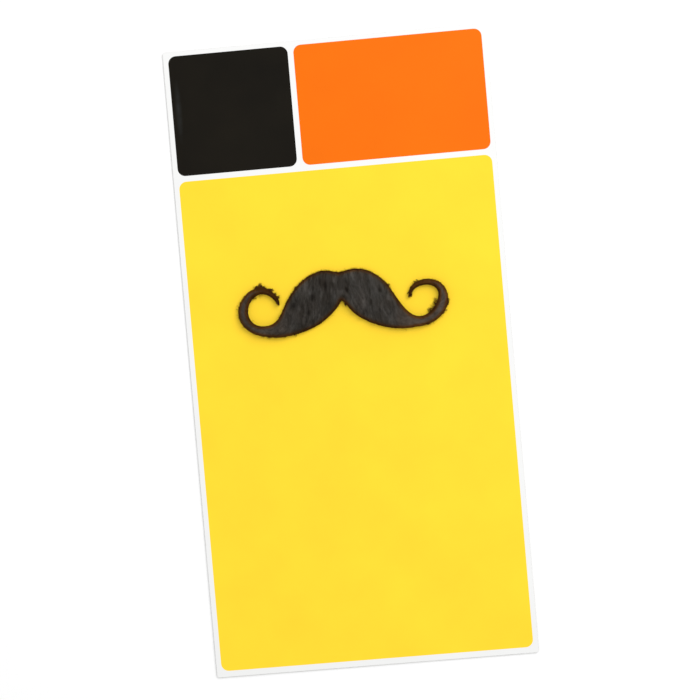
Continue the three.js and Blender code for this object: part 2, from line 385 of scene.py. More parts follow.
# %% [markdown]
# ## Reading the moustache from the frame
# The cloth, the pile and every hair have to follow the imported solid. Each hair could feel for the
# surface by itself, but thousands of them would be slow. So rays are cast straight up and down at
# the solid once, over a fine grid. They give its plan, without the locks that hang over the cut
# edge, and its height. From these come three more maps: how far each point is from the cut edge,
# how far it is from the middle along the fur, and which way the nap lies. A map is a plain array,
# and maps spread over the grid by passing values to their neighbours.

# %% Cast rays on the moustache
PITCH = 0.25 * MM
MARGIN = 3.0 * MM
CUT_LEVEL = 0.1 * MM

grid_x = np.arange(fur_low.x - MARGIN, fur_high.x + MARGIN, PITCH)
grid_y = np.arange(fur_low.y - MARGIN, fur_high.y + MARGIN, PITCH)


def solid_maps():
    """The heights of the solid's underside and top over the grid, or nothing off the fur."""
    bm = bmesh.new()
    bm.from_mesh(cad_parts["moustache_fur"].data)
    tree = BVHTree.FromBMesh(bm)
    bm.free()
    up, down = Vector((0, 0, 1)), Vector((0, 0, -1))
    under = np.full((len(grid_y), len(grid_x)), np.nan)
    over = under.copy()
    for row, y in enumerate(grid_y):
        for column, x in enumerate(grid_x):
            hit = tree.ray_cast(Vector((x, y, 0)), up)[0]
            if hit:
                under[row, column] = hit.z
                over[row, column] = tree.ray_cast(Vector((x, y, 2 * fur_high.z)), down)[0].z
    return under, over


solid_under, solid_height = solid_maps()
on_fur = solid_under < fur_low.z + CUT_LEVEL
print("plan of the moustache, square metres:", round(on_fur.sum() * PITCH**2, 6))

# %% Helpers for maps
NEIGHBOURS = [(0, 1), (0, -1), (1, 0), (-1, 0), (1, 1), (1, -1), (-1, 1), (-1, -1)]
TINY = 1e-9


def shifted(values, step, outside):
    """A map moved by one step over the grid, with a value where nothing moved in."""
    moved = np.roll(values, step, axis=(0, 1))
    if step[0]:
        moved[0 if step[0] > 0 else -1, :] = outside
    if step[1]:
        moved[:, 0 if step[1] > 0 else -1] = outside
    return moved


def distance_from(start, within):
    """How far each point is from the start, going only through the points within."""
    distance = np.where(start, 0.0, np.inf)
    while True:
        reached = distance.copy()
        for step in NEIGHBOURS:
            moved = shifted(distance, step, np.inf) + PITCH * math.hypot(*step)
            reached = np.minimum(reached, moved)
        reached = np.where(within | start, reached, np.inf)
        if np.array_equal(reached, distance):
            return distance
        distance = reached


def spread(values, known):
    """Fills a map outwards from where it is known, each point with its neighbours' mean."""
    values, known = np.where(known, values, 0.0), known.copy()
    while not known.all():
        total = sum(shifted(values * known, step, 0.0) for step in NEIGHBOURS)
        count = sum(shifted(known.astype(float), step, 0.0) for step in NEIGHBOURS)
        fresh = ~known & (count > 0)
        values[fresh] = total[fresh] / count[fresh]
        known |= fresh
    return values


def smoothed(values, rounds):
    """A map averaged with its four neighbours, round after round."""
    for _ in range(rounds):
        padded = np.pad(values, 1, mode="edge")
        values = (
            padded[:-2, 1:-1] + padded[2:, 1:-1] + padded[1:-1, :-2] + padded[1:-1, 2:]
            + 4 * padded[1:-1, 1:-1]
        ) / 8
    return values


def unit(x, y):
    """Directions scaled to a length of one."""
    length = np.hypot(x, y) + TINY
    return x / length, y / length


def slope(values):
    """The direction in which a map rises, as its x and y parts."""
    rise_y, rise_x = np.gradient(values, PITCH)
    return unit(rise_x, rise_y)


def smoothstep(values, low, high):
    """A share that eases from 0 at low to 1 at high."""
    share = np.clip((values - low) / (high - low), 0, 1)
    return share * share * (3 - 2 * share)


# %% Work out the edge, the way along the fur and the nap
NOTCH_X = -1.8 * MM
# How far along the fur the body ends, the curl is fully a curl, and the tip begins
BODY_REACH = 19.0 * MM
CURL_REACH = 26.0 * MM
TIP_REACH = 42.0 * MM
# How much the nap of the body splays out from the notch, and over what width
NAP_SPLAY = 0.16
SPLAY_REACH = 7.0 * MM

edge_depth = distance_from(~on_fur, on_fur)
beyond_edge = distance_from(on_fur, ~on_fur)
past_edge = np.where(on_fur, PITCH / 2 - edge_depth, beyond_edge - PITCH / 2)
middle = on_fur & (np.abs(grid_x - NOTCH_X)[None, :] < PITCH)
along_fur = distance_from(middle, on_fur)
along_everywhere = spread(np.where(on_fur, along_fur, 0.0), on_fur & np.isfinite(along_fur))
surface = smoothed(spread(solid_height, on_fur), rounds=3)
tip_x, tip_y = slope(smoothed(along_everywhere, rounds=4))
out_x, out_y = slope(smoothed(past_edge, rounds=3))
side = np.sign(grid_x - NOTCH_X)[None, :]
splay = NAP_SPLAY * np.tanh((grid_x - NOTCH_X) / SPLAY_REACH)[None, :]
curl_share = smoothstep(along_everywhere, BODY_REACH, CURL_REACH)
body_share = 1 - curl_share
tip_share = smoothstep(along_everywhere, TIP_REACH, along_fur[on_fur].max())
nap_x, nap_y = unit(body_share * splay + curl_share * tip_x, curl_share * tip_y - body_share)
nap_x, nap_y = unit(smoothed(nap_x, rounds=4), smoothed(nap_y, rounds=4))
print("from the notch to a tip along the fur, metres:", round(float(along_fur[on_fur].max()), 4))
print("from the cut edge to the deepest point, metres:", round(float(edge_depth.max()), 5))

# %% [markdown]
# ## The ground cloth
# Fur cloth is a knitted ground with the pile worked into it. The die cuts both at once, and the cut
# edge of the ground shows as a thin red-brown rim round the black pile. Its outline could be drawn
# again with a curve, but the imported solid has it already: a copy is cut through level, the loop
# that is left is filled, and it is extruded to the cloth's thickness.

# %% The finish of the ground cloth
RIM_BROWN = (0.032, 0.013, 0.007)


def knitted_ground():
    """Matt knitted fibre, red-brown and uneven."""
    sockets = {
        "Roughness": 0.9, "Specular IOR Level": 0.1, "Sheen Weight": 0.04, "Sheen Roughness": 0.6
    }
    material, tree, shader = new_material("knitted_ground", sockets)
    fibres = grain(tree, scale=2500, detail=5)
    colour = between(tree, fibres, dark=shade(RIM_BROWN, 0.5), light=shade(RIM_BROWN, 1.7))
    tree.links.new(colour, shader.inputs["Base Color"])
    bump(tree, shader, fibres, strength=0.5, distance=0.2 * MM)
    return material


# %% Cut the ground cloth
CLOTH_THICKNESS = 0.6 * MM
MERGE_DISTANCE = 0.001 * MM
STRAIGHT_WITHIN = math.radians(0.5)
OUTLINE_SMOOTHINGS = 2


def packed_fur():
    """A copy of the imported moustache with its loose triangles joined."""
    bm = bmesh.new()
    bm.from_mesh(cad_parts["moustache_fur"].data)
    bmesh.ops.remove_doubles(bm, verts=bm.verts, dist=MERGE_DISTANCE)
    return bm


def cut_level(bm, height, **cleared):
    """Cuts everything level at a height, and gives what lies on the cut."""
    return bmesh.ops.bisect_plane(
        bm, geom=[*bm.verts, *bm.edges, *bm.faces], plane_co=(0, 0, height), plane_no=(0, 0, 1),
        **cleared,
    )["geom_cut"]


def cut_cloth():
    """The solid's outline just above its foot, as a flat sheet that faces down on the film."""
    bm = packed_fur()
    level = fur_low.z + CUT_LEVEL
    cut_level(bm, level, clear_inner=True, clear_outer=True)
    loose = [vert for vert in bm.verts if not vert.link_edges]
    bmesh.ops.delete(bm, geom=loose, context="VERTS")
    bmesh.ops.dissolve_limit(bm, angle_limit=STRAIGHT_WITHIN, verts=bm.verts, edges=bm.edges)
    for _ in range(OUTLINE_SMOOTHINGS):
        bmesh.ops.smooth_vert(
            bm, verts=bm.verts, factor=0.25, use_axis_x=True, use_axis_y=True
        )
    bmesh.ops.triangle_fill(bm, use_beauty=True, edges=list(bm.edges), normal=(0, 0, 1))
    bmesh.ops.translate(bm, verts=bm.verts, vec=(0, 0, fur_low.z - level))
    for face in bm.faces:
        if face.normal.z > 0:
            face.normal_flip()
    return bm


def thicken_cloth(bm):
    """Extrudes the flat sheet up by the cloth's thickness."""
    extruded(bm, CLOTH_THICKNESS)
    bmesh.ops.recalc_face_normals(bm, faces=list(bm.faces))


cloth_bm = cut_cloth()
cloth_area = sum(face.calc_area() for face in cloth_bm.faces)
thicken_cloth(cloth_bm)
ground_cloth = object_from(cloth_bm, "ground_cloth", [knitted_ground()])
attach(ground_cloth, "root")
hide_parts("moustache_fur")
print("ground cloth, square metres:", round(cloth_area, 6))
print("ground_cloth faces:", len(ground_cloth.data.polygons))

# %% [markdown]
# ## Streaks, partings and the brown edge
# Combed pile is never level. Noise that is drawn out along the nap gives low ridges and streaks of
# tone, and the streaks of tone are partly the locks' own and partly painted light and shade,
# lighter on the ridges. Here and there the pile has parted and dips in a short dash, painted with
# shade, or a lock catches the light, painted as a highlight. The large partings and glints are
# placed where the photograph has them, because the eye knows a piece of fur by them, and small ones
# are scattered.
# Beside the cut edge the ends are thin and let light through, so that the black turns to a dark
# brown there, and the fur there is also painted darker with shade. The curls are lighter than the
# body, the right one most, and their tips are brown.

# %% Helpers that sample maps and draw on them
STREAK_CLIP = 2.2


def sampled(values, x, y):
    """A map's values at points between its grid's, from the four nearest."""
    column = np.clip((x - grid_x[0]) / PITCH, 0, len(grid_x) - 1.001)
    row = np.clip((y - grid_y[0]) / PITCH, 0, len(grid_y) - 1.001)
    c, r = column.astype(int), row.astype(int)
    u, v = column - c, row - r
    lower = values[r, c] * (1 - u) + values[r, c + 1] * u
    upper = values[r + 1, c] * (1 - u) + values[r + 1, c + 1] * u
    return lower * (1 - v) + upper * v


def streak_map(rng, across, along):
    """Random values from -1 to 1, smoothed in rounds and then drawn out in steps along the nap."""
    values = smoothed(rng.standard_normal(on_fur.shape), rounds=across)
    rows, columns = np.meshgrid(grid_y, grid_x, indexing="ij")
    total = np.zeros_like(values)
    for direction in (-1, 1):
        x, y = columns.copy(), rows.copy()
        for _ in range(along):
            total += sampled(values, x, y)
            x += direction * PITCH * sampled(nap_x, x, y)
            y += direction * PITCH * sampled(nap_y, x, y)
    return np.clip(total / (STREAK_CLIP * total[on_fur].std()), -1, 1)


def ranging(rng, low_high, count=None):
    """Random values anywhere between a low and a high one."""
    low, high = low_high
    return low + (high - low) * rng.random(count)


def scattered(rng, middle, deviation, count):
    """Random values round a middle one, most of them within the deviation."""
    return middle + deviation * rng.standard_normal(count)


def mark_map(marks):
    """How strong soft-edged oval marks are over the plan, from 0 to 1."""
    strength = np.zeros_like(surface)
    for mark in marks:
        across = (grid_x[None, :] / MM - mark["at"][0]) / mark["wide"]
        along = (grid_y[:, None] / MM - mark["at"][1]) / mark["long"]
        strength = np.maximum(strength, mark["amount"] * np.exp(-(across**2) - along**2))
    return strength


# %% Work out the streaks, partings and glints
# Places, half widths and half lengths are in millimetres, and amounts go from 0 to 1
PARTINGS = [
    dict(at=(-11.6, 20.6), wide=0.75, long=1.0, amount=0.9),
    dict(at=(-6.8, 23.9), wide=0.45, long=1.4, amount=0.7),
    dict(at=(0.6, 22.0), wide=0.5, long=0.9, amount=0.9),
    dict(at=(-0.9, 19.8), wide=0.7, long=0.6, amount=0.7),
    dict(at=(12.1, 20.9), wide=0.6, long=0.5, amount=0.8),
    dict(at=(8.7, 16.9), wide=0.5, long=0.9, amount=0.7),
    dict(at=(-13.4, 15.1), wide=0.5, long=0.9, amount=0.7),
    dict(at=(-18.8, 17.9), wide=0.8, long=1.3, amount=0.4),
    dict(at=(-12.2, 11.7), wide=0.7, long=0.6, amount=0.6),
]
GLINTS = [
    dict(at=(-3.6, 26.0), wide=0.30, long=1.2, amount=1.0),
    dict(at=(-8.5, 21.5), wide=0.30, long=1.6, amount=0.8),
    dict(at=(-0.9, 21.7), wide=0.7, long=0.5, amount=0.6),
    dict(at=(15.0, 18.1), wide=0.7, long=1.0, amount=0.7),
    dict(at=(6.4, 16.7), wide=0.5, long=1.4, amount=0.7),
    dict(at=(-16.5, 17.1), wide=0.7, long=1.2, amount=0.5),
    dict(at=(-12.4, 21.9), wide=0.4, long=0.4, amount=0.9),
]
SMALL_PARTINGS = 18
SMALL_PARTING_WIDE = 0.3
SMALL_PARTING_LONG = (0.7, 1.3)
SMALL_PARTING_AMOUNT = (0.2, 0.6)
CLEAR_OF_EDGE = 2 * MM
STREAK_RELIEF = 0.09 * MM
PARTING_DEPTH = 0.55 * MM
STREAK_STRENGTH = 0.65
STREAK_CHANGE = 0.45


def small_partings(rng):
    """Small partings at random places of the body."""
    inner = np.argwhere((edge_depth > CLEAR_OF_EDGE) & (curl_share < 0.5))
    for row, column in inner[rng.choice(len(inner), SMALL_PARTINGS, replace=False)]:
        place = (grid_x[column] / MM, grid_y[row] / MM)
        length = ranging(rng, SMALL_PARTING_LONG)
        amount = ranging(rng, SMALL_PARTING_AMOUNT)
        yield dict(at=place, wide=SMALL_PARTING_WIDE, long=length, amount=amount)


rng = np.random.default_rng(7)
patches = streak_map(rng, across=120, along=6)
hues = streak_map(rng, across=90, along=4)
streaks = streak_map(rng, across=2, along=10)
streaks = streaks * (STREAK_STRENGTH + STREAK_CHANGE * streak_map(rng, across=60, along=4))
leans = streak_map(rng, across=8, along=8)
partings = mark_map([*PARTINGS, *small_partings(rng)])
glints = mark_map(GLINTS)
relief = STREAK_RELIEF * streaks - PARTING_DEPTH * partings
surface = surface + relief
print("deepest parting, metres:", round(float(PARTING_DEPTH * partings.max()), 5))

# %% Work out the tone and the warmth of the fur
# Tones go from 0, dark, to 1, light
FUR_TONE = 0.57
# The streaks' tone is partly the locks' own and partly painted light and shade, lighter on the
# ridges
STREAK_TONE_AND_PAINTED_LIGHT = 0.105
PATCH_TONE = 0.13
CURL_TONE = 0.08
RIGHT_CURL_TONE = 0.14
TIP_TONE = -0.25
# Painted highlight on glints, and painted shade in partings and by the cut edge
GLINT_PAINTED_HIGHLIGHT = 0.45
PARTING_PAINTED_SHADE = 0.60
EDGE_PAINTED_SHADE = 0.17
# Warmth goes from 0, black, to 1, brown
EDGE_FADE = 0.90 * MM
EDGE_FALL = 2.5
CURL_WARMTH = 0.10
RIGHT_CURL_WARMTH = 0.09
TIP_WARMTH = 0.40
PATCH_WARMTH = 0.04

# The band by the cut edge turns brown, and is painted darker with shade as well
edge_warmth_and_shade = np.exp(-((np.maximum(-past_edge, 0) / EDGE_FADE) ** EDGE_FALL))


def tone_at(x, y):
    """The fur's tone at a point, dark to light, with painted light and shade on the streaks."""
    tone = FUR_TONE + STREAK_TONE_AND_PAINTED_LIGHT * sampled(streaks, x, y) + PATCH_TONE * sampled(patches, x, y)
    curl = CURL_TONE + RIGHT_CURL_TONE * (x > NOTCH_X)
    return tone + curl * sampled(curl_share, x, y) + TIP_TONE * sampled(tip_share, x, y)


def painted_light_at(x, y):
    """Painted highlight on glints and painted shade in partings and by the edge, at a point."""
    marks = GLINT_PAINTED_HIGHLIGHT * sampled(glints, x, y) - PARTING_PAINTED_SHADE * sampled(partings, x, y)
    return marks - EDGE_PAINTED_SHADE * sampled(edge_warmth_and_shade, x, y)


def warmth_at(x, y):
    """How brown the fur is at a point."""
    curl = CURL_WARMTH + RIGHT_CURL_WARMTH * (x > NOTCH_X)
    warmth = sampled(edge_warmth_and_shade, x, y) + PATCH_WARMTH * (1 + sampled(hues, x, y))
    return warmth + curl * sampled(curl_share, x, y) + TIP_WARMTH * sampled(tip_share, x, y)


print("share of the fur that is brown at its edge:", round(float(edge_warmth_and_shade[on_fur].mean()), 3))

# %% [markdown]
# ## The mass of the pile
# Below its outer hairs a pile is too dense to see into. Hairs alone could fill it, but that would
# take many more of them. So the mass is a copy of the imported solid, remeshed fine and smoothed so
# that the coarse locks melt into soft ridges, and drawn in a little all round so that the hairs
# have room. Its lower part, inside the cloth, is cut away. Its colour goes by the same maps as the
# hairs' colour, stored on its points, and it is painted darker than the hairs, as painted shade
# deep in the pile.

# %% The finish of the fur
FUR_DARK = (0.0060, 0.0050, 0.0042)
FUR_MIDDLE = (0.0395, 0.0348, 0.0285)
FUR_LIGHT = (0.1180, 0.1130, 0.1040)
EDGE_DARK = (0.0220, 0.0074, 0.0008)
EDGE_LIGHT = (0.1700, 0.0640, 0.0080)
MIDDLE_TONE = 0.45


def fur_material(name, lightest):
    """Fur whose colour goes by its tone, and to brown by its warmth, with a soft sheen."""
    sockets = {
        "Roughness": 0.6, "Specular IOR Level": 0.05, "Sheen Weight": 0.01, "Sheen Roughness": 0.4
    }
    material, tree, shader = new_material(name, sockets)
    tone = add_node(tree, "Attribute", attribute_name="tone").outputs["Fac"]
    warmth = add_node(tree, "Attribute", attribute_name="warmth").outputs["Fac"]
    blacks = [(0.0, FUR_DARK), (MIDDLE_TONE, FUR_MIDDLE), (1.0, shade(FUR_LIGHT, lightest))]
    black = ramp(tree, tone, blacks)
    brown = ramp(tree, tone, [(0.0, EDGE_DARK), (1.0, EDGE_LIGHT)])
    mixed = add_node(tree, "Mix", {"Factor": warmth, "A": black, "B": brown}, data_type="RGBA")
    tree.links.new(mixed.outputs["Result"], shader.inputs["Base Color"])
    return material, tree, shader


def set_shades(mesh, **shades):
    """Stores values between 0 and 1 for the mesh's points, which the fur's material reads."""
    for name, values in shades.items():
        attribute = mesh.attributes.new(name, "FLOAT", "POINT")
        attribute.data.foreach_set("value", np.clip(values, 0, 1).astype(np.float32))


# %% Make the mass of the pile
PILE_VOXEL = 0.35 * MM
PILE_DRAWN_IN = 0.16 * MM
PILE_SHORTFALL = 0.05 * MM


def melted_locks():
    """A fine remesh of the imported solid, smoothed until its coarse locks are soft ridges."""
    rough = object_from(packed_fur(), "rough_pile", [])
    remesh = rough.modifiers.new("remesh", "REMESH")
    remesh.mode = "VOXEL"
    remesh.voxel_size = PILE_VOXEL
    smooth = rough.modifiers.new("smooth", "SMOOTH")
    smooth.factor = 0.5
    smooth.iterations = 4
    shown = rough.evaluated_get(bpy.context.evaluated_depsgraph_get())
    bm = bmesh.new()
    bm.from_mesh(shown.to_mesh())
    bpy.data.objects.remove(rough)
    return bm


def shape_pile(bm):
    """Gives the mass its streaks and partings, and draws it in from its surface and cut edge."""
    bm.normal_update()
    points = np.array([vert.co for vert in bm.verts])
    normals = np.array([vert.normal for vert in bm.verts])
    x, y = points.T[:2]
    points[:, 2] += sampled(relief, x, y) * np.maximum(normals[:, 2], 0)
    excess = np.maximum(sampled(past_edge, x, y) + PILE_SHORTFALL, 0)
    points[:, 0] -= excess * sampled(out_x, x, y)
    points[:, 1] -= excess * sampled(out_y, x, y)
    for vert, point in zip(bm.verts, points - PILE_DRAWN_IN * normals):
        vert.co = point


def cut_above_cloth(bm):
    """Cuts the mass level at the top of the cloth and closes it there."""
    cut = cut_level(bm, fur_low.z + CLOTH_THICKNESS, clear_inner=True)
    bmesh.ops.holes_fill(bm, edges=only(cut, bmesh.types.BMEdge))
    bmesh.ops.recalc_face_normals(bm, faces=list(bm.faces))


pile_bm = melted_locks()
shape_pile(pile_bm)
cut_above_cloth(pile_bm)
print("faces of the pile's mass:", len(pile_bm.faces))

# %% Finish the mass of the pile
# The mass is a darker copy of the fur: painted shade deep in the pile
PILE_SHADED_LIGHTEST = 0.5
PILE_PAINTED_SHADE = 0.15

pile_fur, pile_tree, pile_shader = fur_material("pile_mass", PILE_SHADED_LIGHTEST)
combed = grain(pile_tree, scale=1600, stretch=(1, 0.25, 1), detail=4)
bump(pile_tree, pile_shader, combed, strength=0.8, distance=0.3 * MM)
pile = object_from(pile_bm, "pile_mass", [pile_fur])
pile.data.shade_smooth()
pile_x, pile_y = np.array([vert.co for vert in pile.data.vertices]).T[:2]
# The mass's tone is lowered by the painted shade of the pile's depth
set_shades(
    pile.data,
    tone=tone_at(pile_x, pile_y) + painted_light_at(pile_x, pile_y) - PILE_PAINTED_SHADE,
    warmth=warmth_at(pile_x, pile_y),
)
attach(pile, "root")
print("pile_mass faces:", len(pile.data.polygons))

# %% [markdown]
# ## Hairs
# Blender can grow hair by itself, but these hairs have to be plain mesh that follows the maps, so
# each is a thin three-sided cone with a few rings. Thousands are laid from arrays: each root is a
# random point of the fur, and the hair then goes step by step along the nap, so that it bends round
# the curls as combed fur does. Pile hairs cling together, so each one leans over to its clump's
# middle hair, more towards the tip, and takes the clump's tone. That makes the fine streaks. The
# die cuts the pile with the cloth, so a hair ends where its path crosses the cut edge.

# %% Model one hair
HAIR_SIDES = 3
HAIR_RINGS = 4
STATIONS = np.linspace(0, 1, HAIR_RINGS + 1)


def hair_shape():
    """A cone of unit radius and length with rings: where its points are round it and along it."""
    bm = bmesh.new()
    bmesh.ops.create_cone(
        bm, cap_ends=True, cap_tris=False, segments=HAIR_SIDES, radius1=1, radius2=0, depth=1,
        matrix=Matrix.Translation((0, 0, 0.5)),
    )
    bmesh.ops.remove_doubles(bm, verts=bm.verts, dist=1e-5)
    for ring in range(1, HAIR_RINGS):
        cut_level(bm, ring / HAIR_RINGS)
    bmesh.ops.recalc_face_normals(bm, faces=list(bm.faces))
    bm.verts.index_update()
    points = np.array([vert.co for vert in bm.verts])
    faces = [[vert.index for vert in face.verts] for face in bm.faces]
    bm.free()
    stations = np.rint(points[:, 2] * HAIR_RINGS).astype(int)
    around = points[:, :2] / np.maximum(1 - points[:, 2:3], 1e-6)
    around[stations == HAIR_RINGS] = 0
    return around, stations, faces


hair_points, hair_stations, hair_faces = hair_shape()
hair_triangles = sum(len(face) - 2 for face in hair_faces)
print("one hair: points", len(hair_points), "triangles", hair_triangles)

# %% Helpers that root, comb and cut hairs
CARD_CLEARANCE = 0.12 * MM
OVERHANG_DROP = 0.9


def roots(rng, count, share_of_place):
    """Random points of the fur, more of them where the share is high."""
    weight = np.where(on_fur, share_of_place, 0.0).ravel()
    cells = rng.choice(weight.size, count, p=weight / weight.sum())
    row, column = np.divmod(cells, len(grid_x))
    jitter = (rng.random((2, count)) - 0.5) * PITCH
    return grid_x[column] + jitter[0], grid_y[row] + jitter[1]


def lie_height(x, y):
    """The height at which a hair lies over a point: on the pile, or drooping beyond its edge."""
    beyond = np.maximum(sampled(past_edge, x, y), 0)
    height = sampled(surface, x, y) - OVERHANG_DROP * beyond
    return np.maximum(height, card_high.z + CARD_CLEARANCE)


def comb(x, y, length, turn, outward=0.0, wander=0.0):
    """Paths of hairs from their roots along the nap, as x and y arrays of (hair, station)."""
    xs, ys = [x], [y]
    swing = turn
    for _ in range(HAIR_RINGS):
        dir_x = sampled(nap_x, x, y) + outward * sampled(out_x, x, y)
        dir_y = sampled(nap_y, x, y) + outward * sampled(out_y, x, y)
        dir_x, dir_y = unit(dir_x, dir_y)
        swing = swing + wander
        cos, sin = np.cos(swing), np.sin(swing)
        step = length / HAIR_RINGS
        x = x + step * (cos * dir_x - sin * dir_y)
        y = y + step * (sin * dir_x + cos * dir_y)
        xs.append(x)
        ys.append(y)
    return np.stack(xs, 1), np.stack(ys, 1)


def cut_at_edge(xs, ys, allowance):
    """The paths shortened to where they pass the cut edge by the allowance, and the share kept."""
    past = sampled(past_edge, xs, ys) - allowance[:, None]
    outside = past > 0
    first = np.where(outside.any(1), outside.argmax(1), HAIR_RINGS)
    last = np.maximum(first - 1, 0)
    rows = np.arange(len(xs))
    gap = past[rows, first] - past[rows, last]
    share = np.clip(-past[rows, last] / np.where(np.abs(gap) > TINY, gap, 1), 0, 1)
    reach = np.where(outside.any(1), last + share, HAIR_RINGS)[:, None] * STATIONS
    lower = np.minimum(reach.astype(int), HAIR_RINGS - 1)
    part = reach - lower
    rows = rows[:, None]
    cut_x = xs[rows, lower] * (1 - part) + xs[rows, lower + 1] * part
    cut_y = ys[rows, lower] * (1 - part) + ys[rows, lower + 1] * part
    return cut_x, cut_y, reach[:, -1] / HAIR_RINGS


# %% A helper that joins hairs in one mesh
HAIR_TAPER = np.array([0.8, 1.0, 0.9, 0.6, 0.0])
HAIR_LIGHTEST = 1.2
TIP_LIGHTENING = 0.10

hair_fur, _, _ = fur_material("combed_fur", HAIR_LIGHTEST)


def lay_hairs(name, xs, ys, zs, width, tone):
    """A hair along every path, all in one mesh that carries each hair's tone."""
    path = np.stack([xs, ys, zs], 2)
    along = np.gradient(path, axis=1)
    along /= np.linalg.norm(along, axis=2, keepdims=True) + 1e-12
    across = np.cross(along, [0.0, 0.0, 1.0])
    across /= np.linalg.norm(across, axis=2, keepdims=True) + 1e-12
    rise = np.cross(across, along)
    s = hair_stations
    radius = HAIR_TAPER[s][None, :, None] * width[:, None, None] / 2
    sideways = across[:, s] * hair_points[:, 0][None, :, None]
    upwards = rise[:, s] * hair_points[:, 1][None, :, None]
    points = path[:, s] + radius * (sideways + upwards)
    count, size = len(path), len(s)
    starts = range(0, count * size, size)
    faces = [[index + start for index in face] for start in starts for face in hair_faces]
    mesh = bpy.data.meshes.new(name)
    mesh.from_pydata(points.reshape(-1, 3).tolist(), [], faces)
    x, y = points[..., 0].ravel(), points[..., 1].ravel()
    to_tip = TIP_LIGHTENING * np.tile(s / HAIR_RINGS, count)
    # The hairs' tone carries painted highlights and shade from glints, partings and the edge
    set_shades(mesh, tone=np.repeat(tone, size) + to_tip + painted_light_at(x, y), warmth=warmth_at(x, y))
    mesh.materials.append(hair_fur)
    mesh.shade_smooth()
    made = bpy.data.objects.new(name, mesh)
    scene.collection.objects.link(made)
    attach(made, "root")
    print(name, "hairs:", count, "triangles:", hair_triangles * count)
    return made


# %% Gather the pile in clumps
CLUMP_COUNT = 2000
CLUMPS_MORE_ON_CURLS = 1.5
CLUMP_LEAN = 0.25
CLUMP_TURN = 0.10
CLUMP_STRETCH = 2.6


def make_clumps():
    """The roots of the clumps' middle hairs, how they turn from the nap, and their tones."""
    rng = np.random.default_rng(5)
    x, y = roots(rng, CLUMP_COUNT, 1 + CLUMPS_MORE_ON_CURLS * curl_share)
    turn = scattered(rng, CLUMP_LEAN * sampled(leans, x, y), CLUMP_TURN, CLUMP_COUNT)
    return {"x": x, "y": y, "turn": turn, "tone": rng.standard_normal(CLUMP_COUNT)}


clumps = make_clumps()


def nearest_clump(x, y):
    """The clump that each root belongs to. A clump is long along the nap and narrow across it."""
    away_x, away_y = x[:, None] - clumps["x"], y[:, None] - clumps["y"]
    dir_x, dir_y = sampled(nap_x, x, y)[:, None], sampled(nap_y, x, y)[:, None]
    along = away_x * dir_x + away_y * dir_y
    across = away_x * dir_y - away_y * dir_x
    return np.hypot(along, CLUMP_STRETCH * across).argmin(1)


print("clumps:", CLUMP_COUNT, "widest turn from the nap:", round(float(clumps["turn"].max()), 2))

# %% Lay the combed hairs of both wings
WING_HAIRS = 8800
BODY_HAIR = 3.8 * MM
CURL_HAIR = 2.2 * MM
HAIR_LENGTHS = (0.6, 1.2)
HAIR_WIDTH = 0.10 * MM
HAIR_WIDTHS = (0.7, 1.3)
HAIR_TURN = 0.12
HAIR_WANDER = 0.05
CLUMP_PULL = 0.62
CLUMP_PULLS = (0.3, 1.0)
CLUMP_TONE = 0.075
HAIR_TONE = 0.04
EDGE_SHORTFALL = 0.12 * MM
CUT_SCATTER = 0.08 * MM
HAIR_RISE = 0.30 * MM
HAIR_RISES = (0.3, 1.0)
TIP_RISE = 1.3
ROOT_SINK = 0.7
SHORTEST_KEPT = 0.12


def lay_wing(name, wing, seed):
    """The combed hairs of one wing: the left for -1, the right for 1."""
    rng = np.random.default_rng(seed)
    x, y = roots(rng, WING_HAIRS, (side == wing) * (1 + curl_share))
    clump = nearest_clump(x, y)
    clump_x, clump_y, clump_turn = clumps["x"][clump], clumps["y"][clump], clumps["turn"][clump]
    length = BODY_HAIR + (CURL_HAIR - BODY_HAIR) * sampled(curl_share, x, y)
    length = length * ranging(rng, HAIR_LENGTHS, WING_HAIRS)
    turn = scattered(rng, clump_turn, HAIR_TURN, WING_HAIRS)
    xs, ys = comb(x, y, length, turn, wander=scattered(rng, 0, HAIR_WANDER, WING_HAIRS))
    middle_xs, middle_ys = comb(clump_x, clump_y, length, clump_turn)
    pull = CLUMP_PULL * STATIONS**1.5 * ranging(rng, CLUMP_PULLS, WING_HAIRS)[:, None]
    xs, ys = xs + pull * (middle_xs - xs), ys + pull * (middle_ys - ys)
    allowance = scattered(rng, -EDGE_SHORTFALL, CUT_SCATTER, WING_HAIRS)
    xs, ys, kept = cut_at_edge(xs, ys, allowance)
    rise = HAIR_RISE * ranging(rng, HAIR_RISES, WING_HAIRS)[:, None]
    zs = lie_height(xs, ys) + rise * (TIP_RISE * STATIONS * kept[:, None] - ROOT_SINK)
    width = HAIR_WIDTH * ranging(rng, HAIR_WIDTHS, WING_HAIRS)
    tone = tone_at(x, y) + CLUMP_TONE * clumps["tone"][clump]
    tone = scattered(rng, tone, HAIR_TONE, WING_HAIRS)
    long_enough = kept > SHORTEST_KEPT
    return lay_hairs(name, *(part[long_enough] for part in (xs, ys, zs, width, tone)))


left_hairs = lay_wing("hairs_left_wing", -1, 21)
right_hairs = lay_wing("hairs_right_wing", 1, 22)

# %% [markdown]
# ### The fuzz at the cut edge
# Short ends stick out all round where the die cut through the pile. They could be part of the
# combed hairs, but they stand out across the nap instead of along it. Where the nap runs away from
# the edge, the cut ends spring up and out, and where it runs to the edge, they lie close.

